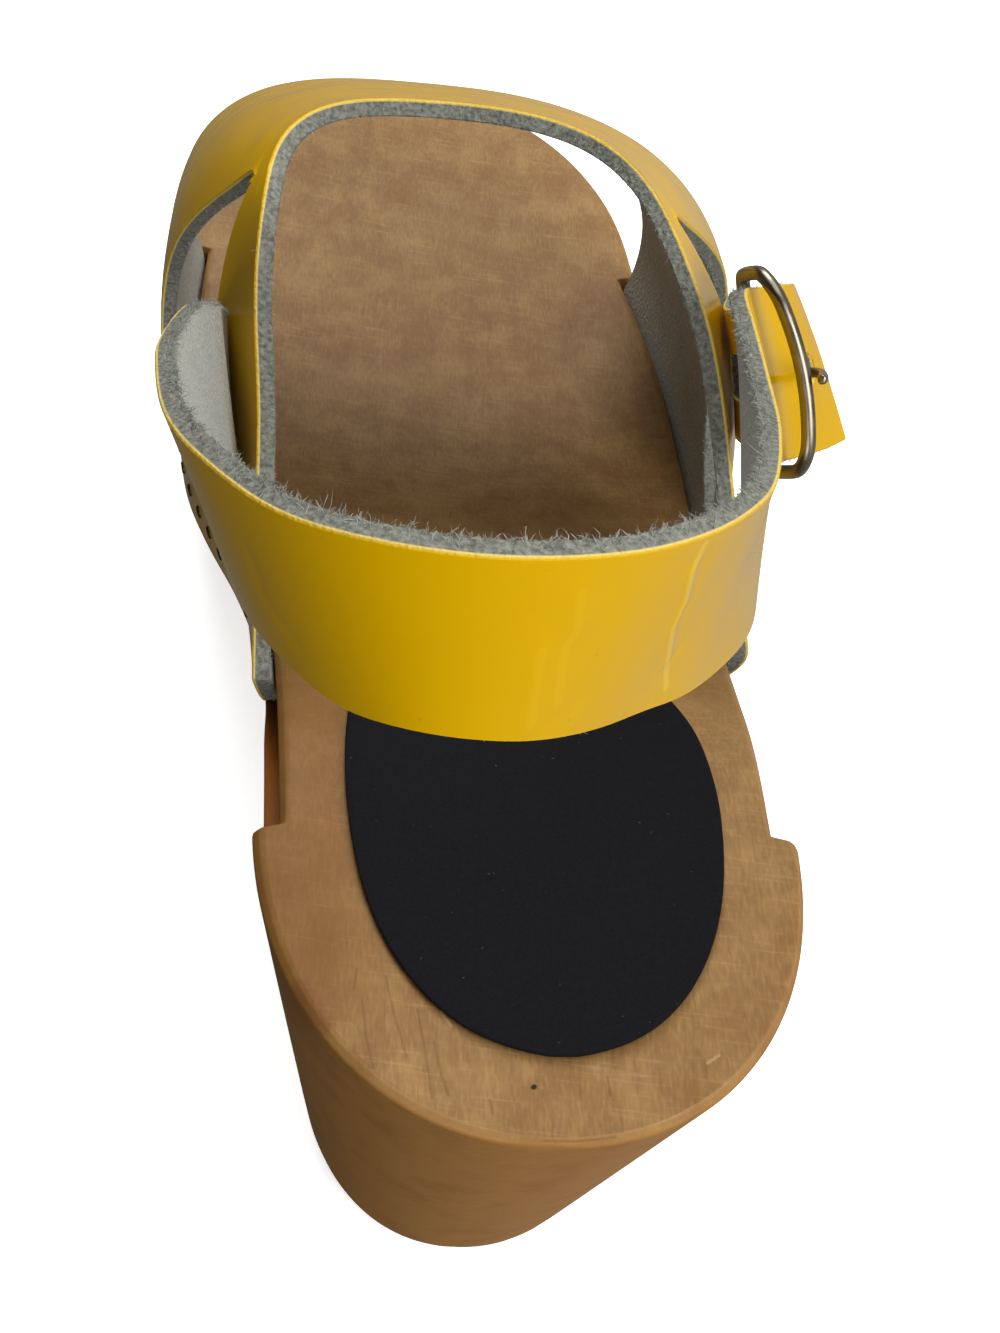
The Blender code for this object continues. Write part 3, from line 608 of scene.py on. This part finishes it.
def fray(name, piece, middle, per_square, length, seed):
    """Curls on the inner cut edge of a piece, a number per square mm with a mean length in mm."""
    rng = np.random.default_rng(seed)
    mesh = piece.data
    depth = mesh.attributes["depth"].data
    points, faces = [], []
    for face in mesh.polygons:
        deep = sum(depth[i].value for i in face.vertices) / len(face.vertices)
        rim = face.material_index == CUT
        lip = face.material_index == INSIDE and deep < FULL_DEPTH
        if not rim and not lip:
            continue
        hairs = rng.poisson(per_square * face.area / MM**2 * deep**2)
        corners = [np.array(mesh.vertices[i].co) for i in face.vertices]
        inward = np.array((Vector(middle) - face.center).normalized())
        lean = LEAN_OUT * np.array(face.normal) + LEAN_IN * inward
        for _ in range(hairs):
            shares = rng.dirichlet(np.ones(len(corners)))
            root = sum(share * corner for share, corner in zip(shares, corners))
            way = lean + rng.normal(0.0, ROOT_SPREAD, 3)
            way /= np.linalg.norm(way)
            first = len(points)
            reach = length * MM * rng.gamma(LENGTH_SHAPE, 1 / LENGTH_SHAPE)
            points += curl(rng, root, way, reach)
            for joint in range(FIBRE_JOINTS - 1):
                left = first + 2 * joint
                faces.append((left, left + 1, left + 3, left + 2))
            faces.append((len(points) - 3, len(points) - 2, len(points) - 1))
    fibres = bpy.data.meshes.new(name)
    fibres.from_pydata([tuple(point) for point in points], [], faces)
    fibres.materials.append(loose_fibre)
    fringe = bpy.data.objects.new(name, fibres)
    bpy.context.scene.collection.objects.link(fringe)
    print(name, "fibres:", len(faces) // FIBRE_JOINTS)


fray("strap_fibres", strap, LOOP_MIDDLE, per_square=26.0, length=0.75, seed=3)
fray("upper_fibres", upper, FOOT_MIDDLE, per_square=9.0, length=0.5, seed=5)

# %% [markdown]
# ## Wooden sole
#
# The sole is one block of light wood, sanded and thinly oiled. Its grain runs from heel to toe, so
# the seat shows pale and brown streaks with dark pores and fine drying cracks, crossed by a few
# scratches. The rim is painted paler and the walls darker and warmer, by the way each face turns.
# On the heel's back that is end grain, which takes up more oil; the rest is painted highlight and
# painted shade. The inner side of the seat is painted browner as shade, and the bare wood in the
# rabbet is a deeper brown.
#
# A picture of wood could be laid on it. Noise drawn out along the grain is used instead, because it
# goes through the block as real grain does. The block's edges are held only in part when it is
# subdivided, so they come out worn and soft.

# %% Marks on the seat and its rim
PIN_HOLE = (((-2.8, -33.6, 72.4), (-2.7, -33.5, 72.4)),)
RIM_SCUFF = (((-28.4, -21.6, 72.5), (-25.9, -26.1, 72.3)),)
SPLINTERS = (
    ((-12.5, -24.2, 72.1), (-11.5, -26.0, 72.1)),
    ((-15.8, -20.0, 72.0), (-14.5, -21.5, 72.0)),
    ((17.4, -30.6, 72.5), (18.9, -29.6, 72.5)),
    ((-27.0, -2.0, 71.6), (-24.6, -2.8, 71.6)),
)
# Fine drying cracks that follow the grain, and one along the rear rim
CRACKS = (
    ((-21.4, -23.1, 72.3), (-21.2, -27.3, 72.5), (-20.5, -31.5, 72.7)),
    ((-18.6, -19.8, 72.1), (-18.0, -24.1, 72.2), (-16.7, -30.0, 72.5)),
    ((-15.2, -24.0, 72.1), (-14.7, -28.1, 72.3), (-14.2, -35.0, 72.7)),
    ((-13.5, -28.1, 72.3), (-13.1, -31.7, 72.4), (-12.4, -34.7, 72.6)),
    ((-21.9, -18.9, 72.2), (-22.3, -21.6, 72.3)),
    ((-7.8, -35.2, 72.5), (-7.7, -36.8, 72.6)),
    ((5.7, -32.3, 72.3), (5.8, -34.6, 72.5)),
    ((-2.2, -39.9, 72.4), (1.2, -40.0, 72.4), (5.8, -39.5, 72.4)),
)
# Deeper brown on the bare wood behind the leather
RABBET_BROWN = (
    ((-33.4, 2.0, 62.5), (-33.4, 24.0, 57.0)),
    ((-33.4, 24.0, 57.0), (-33.6, 46.0, 45.5)),
)
# Painted shade: a deeper brown along the inner side of the seat
INNER_SHADE = (((-33.0, -14.0, 72.0), (-35.0, 26.0, 68.0)),)
print("drying cracks:", len(CRACKS), "splinters:", len(SPLINTERS))


# %% Wood material
GRAIN_TURN = -3.0
SCRATCH_TURN = 82.0


def make_wood():
    # Oiled, sanded wood: a low satin gloss, grain in streaks, pale dry patches and end grain at the heel;
    # a paler rim and darker walls are painted highlight and painted shade
    material, tree, shader = new_material("oiled_light_wood", Roughness=0.55, Specular_IOR_Level=0.2)
    place = add_node(tree, "ShaderNodeTexCoord", {}, "Object")

    def stretched(turn, width, length, detail):
        """Noise drawn out along a direction, a width across and so many times as long."""
        placing = {"Vector": place, "Rotation": (0.0, 0.0, math.radians(turn)), "Scale": (1.0, length, 1.0)}
        vector = add_node(tree, "ShaderNodeMapping", placing, vector_type="TEXTURE")
        return add_node(
            tree, "ShaderNodeTexNoise", {"Vector": vector, "Scale": per_metre(width), "Detail": detail}
        )

    streak = stretched(GRAIN_TURN, 1.8, 9.0, 6.0)
    fibre = stretched(GRAIN_TURN, 0.35, 5.0, 5.0)
    pore = stretched(GRAIN_TURN, 0.45, 16.0, 2.0)
    scratch = stretched(SCRATCH_TURN, 0.5, 18.0, 2.0)
    patch = add_node(tree, "ShaderNodeTexNoise", {"Vector": place, "Scale": per_metre(16), "Detail": 6.0})
    blotch = add_node(tree, "ShaderNodeTexNoise", {"Vector": place, "Scale": per_metre(6), "Detail": 7.0})
    facing = add_node(tree, "ShaderNodeTexCoord", {}, "Normal")
    upward = add_node(tree, "ShaderNodeSeparateXYZ", {"Vector": facing}, "Z")
    ends = {MIX_FACTOR: streak, MIX_LOW: "#7b5930", MIX_HIGH: "#917044"}
    colour = add_node(tree, "ShaderNodeMix", ends, MIX_COLOUR, data_type="RGBA")
    cracks = [leg for crack in CRACKS for leg in legs(crack)]
    layers = (
        (patch, 0.45, 0.7, 0.45, "#7c5830"),
        (blotch, 0.5, 0.7, 0.35, "#aa8551"),
        (fibre, 0.5, 0.72, 0.3, "#b08a54"),
        (fibre, 0.5, 0.28, 0.3, "#6a4a26"),
        (pore, 0.6, 0.72, 0.3, "#654524"),
        (scratch, 0.58, 0.75, 0.25, "#b99663"),
        # By facing, a paler rim and darker, warmer walls: painted highlight and painted shade
        (upward, 0.97, 0.85, 0.3, "#b9905a"),
        (upward, 0.75, 0.35, 0.85, "#96672c"),
        (blotch, 0.5, 0.3, 0.35, "#74471f"),
        # Painted shade along the inner side of the seat
        (strokes(tree, place, INNER_SHADE, 20.0), 0.0, 1.0, 0.6, "#714812"),
        (strokes(tree, place, cracks, 0.2), 0.0, 1.0, 0.35, "#5a3a1a"),
        (strokes(tree, place, PIN_HOLE, 0.4), 0.0, 1.0, 1.0, "#1c1006"),
        (strokes(tree, place, RIM_SCUFF, 1.6), 0.0, 1.0, 0.4, "#6c3f28"),
        (strokes(tree, place, SPLINTERS, 0.25), 0.0, 1.0, 0.3, "#cdb083"),
        # A deeper brown on the bare wood in the rabbet
        (strokes(tree, place, RABBET_BROWN, 9.0), 0.0, 1.0, 0.85, "#96550a"),
    )
    tree.links.new(overlay(tree, colour, layers), shader.inputs["Base Color"])
    bump = add_node(tree, "ShaderNodeBump", {"Height": streak, "Distance": 0.1 * MM})
    tree.links.new(bump, shader.inputs["Normal"])
    return material


wood = make_wood()
print("wood material:", wood.name)

# %% Sole from its solid
WOOD_SHARP = math.radians(26)
WORN = 0.45
sole = clean_copy("wooden_sole", "sole_wood", WOOD_SHARP)
hold_edges(sole, WORN)
soften(sole, 3)
apply_all(sole)
bpy.ops.object.shade_smooth_by_angle(angle=SHARP)
sole.data.materials.append(wood)
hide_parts("wooden_sole")
print("sole faces:", len(sole.data.polygons))

# %% [markdown]
# ## Seat label
#
# A thin black oval of cloth with a short brushed nap is glued on the seat. Hairs could make the nap,
# but it is too short to show, so a fine bump and a very matt finish give it, with a little pale lint.


# %% Label
def make_label_material():
    # Black cloth with a short brushed nap: very matt, with a little pale lint
    material, tree, shader = new_material("black_napped_cloth", Roughness=0.9, Specular_IOR_Level=0.1)
    place = add_node(tree, "ShaderNodeTexCoord", {}, "Object")
    nap = add_node(tree, "ShaderNodeTexNoise", {"Vector": place, "Scale": per_metre(0.4), "Detail": 3.0})
    ends = {MIX_FACTOR: nap, MIX_LOW: "#0a0a0c", MIX_HIGH: "#18181b"}
    pile = add_node(tree, "ShaderNodeMix", ends, MIX_COLOUR, data_type="RGBA")
    dots = {"Vector": place, "Scale": per_metre(0.8), "Detail": 2.0}
    lint = add_node(tree, "ShaderNodeTexNoise", dots)
    layers = ((lint, 0.74, 0.8, 0.5, "#5c564c"),)
    tree.links.new(overlay(tree, pile, layers), shader.inputs["Base Color"])
    bump = add_node(tree, "ShaderNodeBump", {"Height": nap, "Distance": 0.12 * MM})
    tree.links.new(bump, shader.inputs["Normal"])
    return material


label = clean_copy("seat_label", "label_cloth", SHARP)
LABEL_ROUND = 0.2 * MM
round_edges(label, LABEL_ROUND, 1, SHARP)
soften(label, 2)
apply_all(label)
bpy.ops.object.shade_smooth_by_angle(angle=SHARP)
label.data.materials.append(make_label_material())
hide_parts("seat_label")
print("label faces:", len(label.data.polygons))

# %% [markdown]
# ## Buckle
#
# Frame and prong are bent from wire and plated with nickel. Its colour is darkened and warmed, as
# painted reflection of dark surroundings and the yellow leather. A circle could be swept along their
# curves again, but the solids already have the wire's round section, so their copies only need to be
# smoothed.


# %% Nickel wire
def make_nickel():
    # Nickel plate on steel wire: a soft, cloudy mirror in a dark warm grey, a painted reflection
    material, tree, shader = new_material("dark_nickel_plate", Metallic=1.0)
    place = add_node(tree, "ShaderNodeTexCoord", {}, "Object")
    cloud = add_node(tree, "ShaderNodeTexNoise", {"Vector": place, "Scale": per_metre(3), "Detail": 4.0})
    # Dark warm grey: painted reflection of dark surroundings and the yellow leather
    ends = {MIX_FACTOR: cloud, MIX_LOW: "#5c5546", MIX_HIGH: "#9c9484"}
    colour = add_node(tree, "ShaderNodeMix", ends, MIX_COLOUR, data_type="RGBA")
    tree.links.new(colour, shader.inputs["Base Color"])
    gloss = {"Value": cloud, "From Min": 0.2, "From Max": 0.8, "To Min": 0.2, "To Max": 0.42}
    tree.links.new(add_node(tree, "ShaderNodeMapRange", gloss), shader.inputs["Roughness"])
    return material


nickel = make_nickel()
for node, name, slot in (
    ("buckle_frame", "frame_wire", "frame_metal"),
    ("buckle_prong", "prong_wire", "prong_metal"),
):
    wire = clean_copy(node, name, SHARP)
    soften(wire, 2)
    apply_all(wire)
    bpy.ops.object.shade_smooth_by_angle(angle=SHARP)
    wire.data.materials.append(nickel)
    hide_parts(node)
    print(name, "faces:", len(wire.data.polygons))

# %% [markdown]
# ## Margin nails
#
# The upper's margin is nailed in the rabbet. The small flat heads sit close together and are
# coloured dark as painted shade, so they show as a row of dots. Dots could be painted, but real heads
# catch the light and stand out at the edge of the shoe. One head is modelled from a cylinder and
# copied. A ray from the side finds the leather at each place, and the head is laid on it.

# %% Model one nail head and set it along both margins
NAIL_RADIUS = 1.1
NAIL_HEIGHT = 0.6
NAIL_ROUND = 0.2
NAIL_SPACING = 6.5
NAIL_FIRST, NAIL_LAST = 46.0, 152.0
NAIL_RISE = 5.0
NAIL_SLICE = 2.0
SIDE_REACH = 0.1

bpy.ops.object.select_all(action="DESELECT")
bpy.ops.mesh.primitive_cylinder_add(vertices=12, radius=NAIL_RADIUS * MM, depth=NAIL_HEIGHT * MM)
head = bpy.context.object
round_edges(head, NAIL_ROUND * MM, 2, SHARP)
apply_all(head)
bpy.ops.object.shade_smooth_by_angle(angle=SHARP)

heads = []
upper_points = np.array([point.co for point in upper.data.vertices])
for side in (-1, 1):
    for y in np.arange(NAIL_FIRST, NAIL_LAST, NAIL_SPACING):
        near = (abs(upper_points[:, 1] - y * MM) < NAIL_SLICE * MM) & (upper_points[:, 0] * side > 0)
        low = upper_points[near, 2].min() + NAIL_RISE * MM
        _, place, normal, _ = upper.ray_cast((side * SIDE_REACH, y * MM, low), (-side, 0, 0))
        copy = bpy.data.objects.new("nail", head.data.copy())
        bpy.context.scene.collection.objects.link(copy)
        lay = normal.to_track_quat("Z", "Y").to_matrix().to_4x4()
        copy.data.transform(Matrix.Translation(place) @ lay)
        heads.append(copy)
bpy.data.objects.remove(head)
bpy.ops.object.select_all(action="DESELECT")
for copy in heads:
    copy.select_set(True)
bpy.context.view_layer.objects.active = heads[0]
bpy.ops.object.join()
nails = bpy.context.object
nails.name = "margin_nails"
# Dull iron, coloured dark as painted shade
iron, _, _ = new_material("dark_iron", Metallic=1.0, Roughness=0.5, Base_Color=linear("#4a4237"))
nails.data.materials.append(iron)
print("nails:", len(heads))

# %% [markdown]
# ## Hand over
#
# Pieces that move would each ride on a body of their own. Nothing on this shoe moves, so all of them
# ride on the one body.

# %% Ride on the one body
for thing in list(bpy.data.objects):
    if thing.type == "MESH" and thing is not floor and thing.name not in nodes:
        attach(thing, "root")
